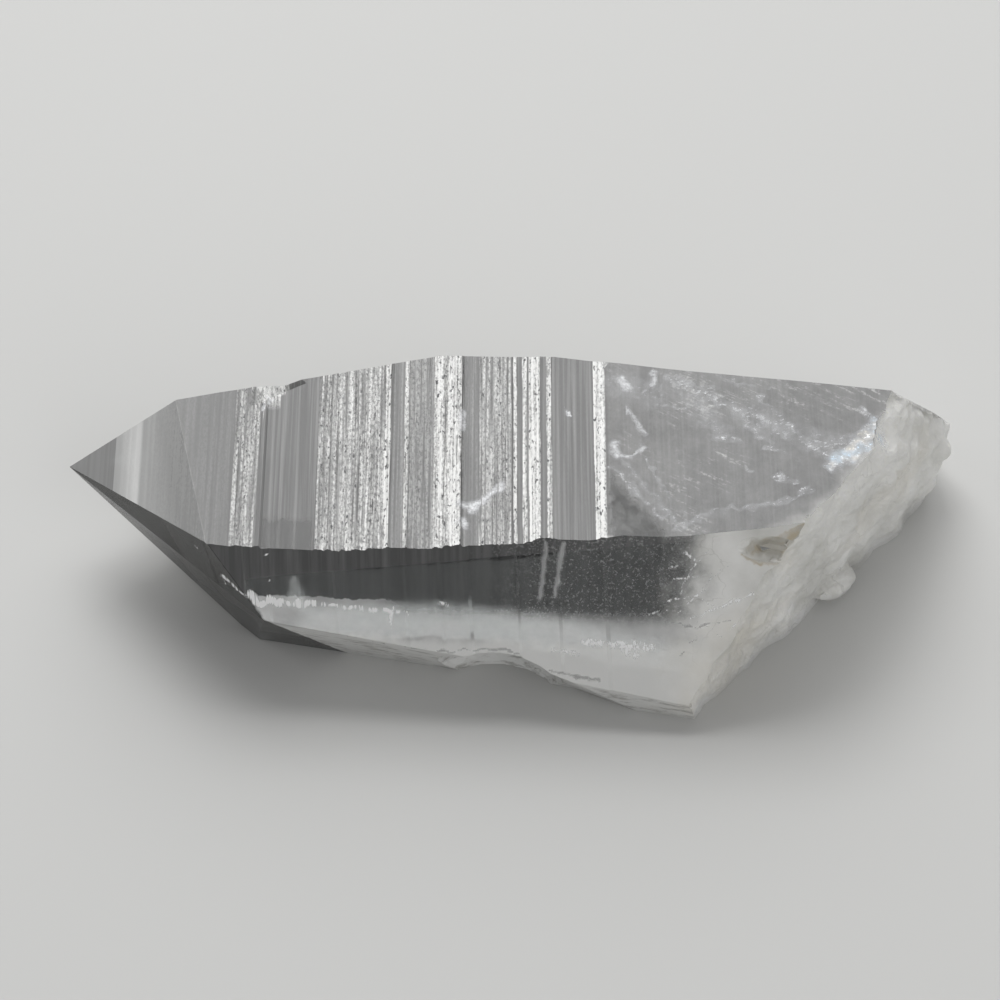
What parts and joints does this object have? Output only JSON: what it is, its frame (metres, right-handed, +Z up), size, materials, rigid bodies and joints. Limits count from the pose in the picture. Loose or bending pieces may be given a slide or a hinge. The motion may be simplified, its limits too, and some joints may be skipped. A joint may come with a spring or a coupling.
{
  "type": "lemurian seed quartz crystal",
  "caption": "Long clear six-sided quartz point lying on a long face, with ladder-like growth lines across its broad face, a sharp tip and a broken milky root.",
  "frame": {"origin": "middle of the footprint, on the ground the crystal lies on", "axes": "+X from the tip towards the broken root, +Y away from the viewer of the picture, +Z up"},
  "size_m": [0.1292, 0.054, 0.0314],
  "materials": {
    "clear_quartz": "clear quartz, glossy on its flat faces, frosted along the growth lines, milky at the broken root",
    "milky_quartz": "milky white quartz, dull and softly mottled, of the broken root and the veils inside"
  },
  "bodies": {
    "root": {"crystal": "clear_quartz"}
  },
  "joints": []
}
